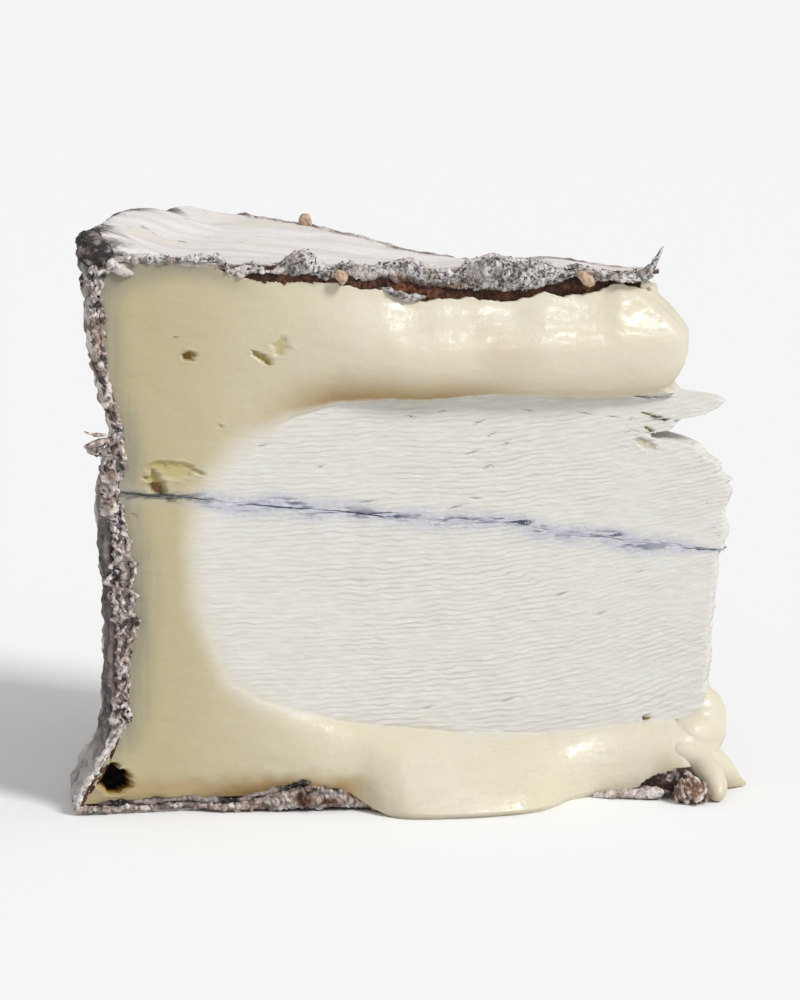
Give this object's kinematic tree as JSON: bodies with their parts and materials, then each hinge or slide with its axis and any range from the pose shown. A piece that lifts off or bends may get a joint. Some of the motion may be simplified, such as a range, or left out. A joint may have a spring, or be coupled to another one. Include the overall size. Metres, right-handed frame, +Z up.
{
  "type": "cheese wedge",
  "caption": "Wedge cut from a tall ripened wheel of ash-lined goat's cheese, with a runny creamline that has flowed out of the cut.",
  "frame": {"origin": "middle of the wedge's underside, on the floor", "axes": "+X from the rind of the wheel's side to the thin tip, +Y from the front cut into the wedge, +Z up"},
  "size_m": [0.1026, 0.0824, 0.0825],
  "materials": {
    "rind": "matte",
    "creamline": "satin",
    "core": "matte",
    "ash": "matte"
  },
  "bodies": {
    "root": {"rind": "rind", "upper_creamline": "creamline", "lower_creamline": "creamline", "upper_core": "core", "lower_core": "core", "ash_line": "ash"}
  },
  "joints": []
}
